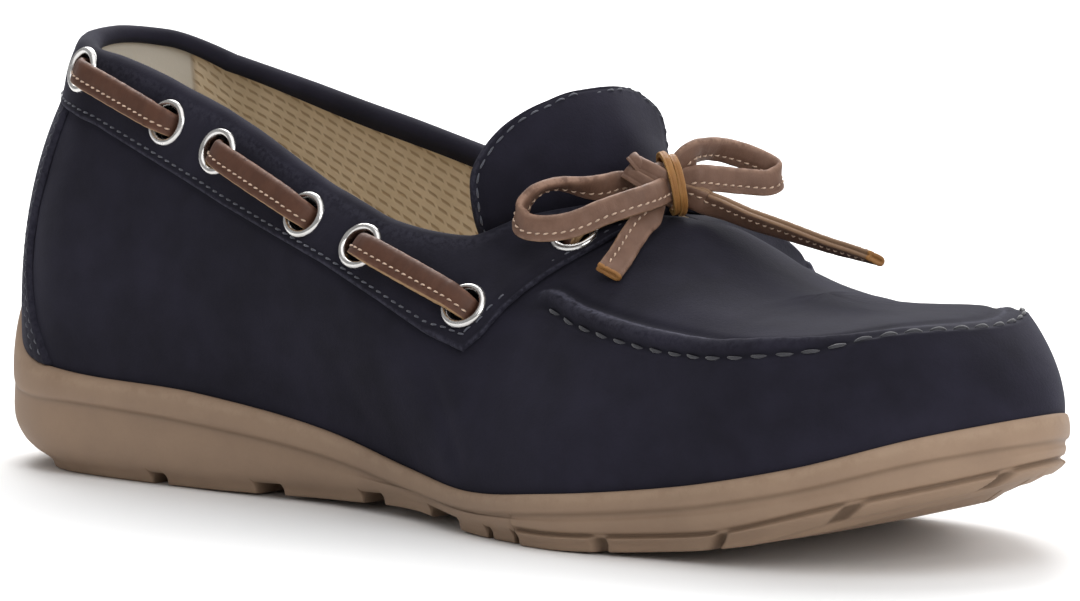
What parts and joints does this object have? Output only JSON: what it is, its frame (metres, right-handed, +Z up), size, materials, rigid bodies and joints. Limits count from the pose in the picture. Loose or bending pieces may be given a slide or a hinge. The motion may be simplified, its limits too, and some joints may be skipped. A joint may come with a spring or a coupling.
{
  "type": "slip-on shoe",
  "caption": "Slip-on moccasin shoe for the right foot, with a raised seam, a laced collar with eyelets and bow, and a lugged sole.",
  "frame": {"origin": "under the middle of the shoe without its bow, on the plane that its heel and forefoot stand on", "axes": "+X from heel to toe, +Y to the inner side of the foot, +Z up"},
  "size_m": [0.2601, 0.0888, 0.0916],
  "materials": {
    "nubuck": "brushed matt nubuck",
    "sole_rubber": "matt moulded rubber",
    "lining": "textile with small slanted dashes",
    "lace": "flat folded and stitched leather",
    "eyelet": "polished nickel"
  },
  "bodies": {
    "root": {"upper": "nubuck", "tongue": "nubuck", "sole": "sole_rubber", "insole": "lining", "collar_band": "nubuck", "heel_counter": "nubuck", "eyelet_outer_1": "eyelet", "eyelet_outer_2": "eyelet", "eyelet_outer_3": "eyelet", "eyelet_outer_4": "eyelet", "eyelet_outer_5": "eyelet", "eyelet_outer_6": "eyelet", "eyelet_outer_7": "eyelet", "eyelet_inner_1": "eyelet", "eyelet_inner_2": "eyelet", "eyelet_inner_3": "eyelet", "eyelet_inner_4": "eyelet", "eyelet_inner_5": "eyelet", "eyelet_inner_6": "eyelet", "eyelet_inner_7": "eyelet", "lace_bar_outer_1": "lace", "lace_bar_outer_2": "lace", "lace_bar_outer_3": "lace", "lace_bar_inner_1": "lace", "lace_bar_inner_2": "lace", "lace_bar_inner_3": "lace", "lace_tie_outer": "lace", "lace_tie_inner": "lace", "lace_knot": "lace", "lace_loop_outer": "lace", "lace_loop_inner": "lace", "lace_end_outer": "lace", "lace_end_inner": "lace"}
  },
  "joints": []
}
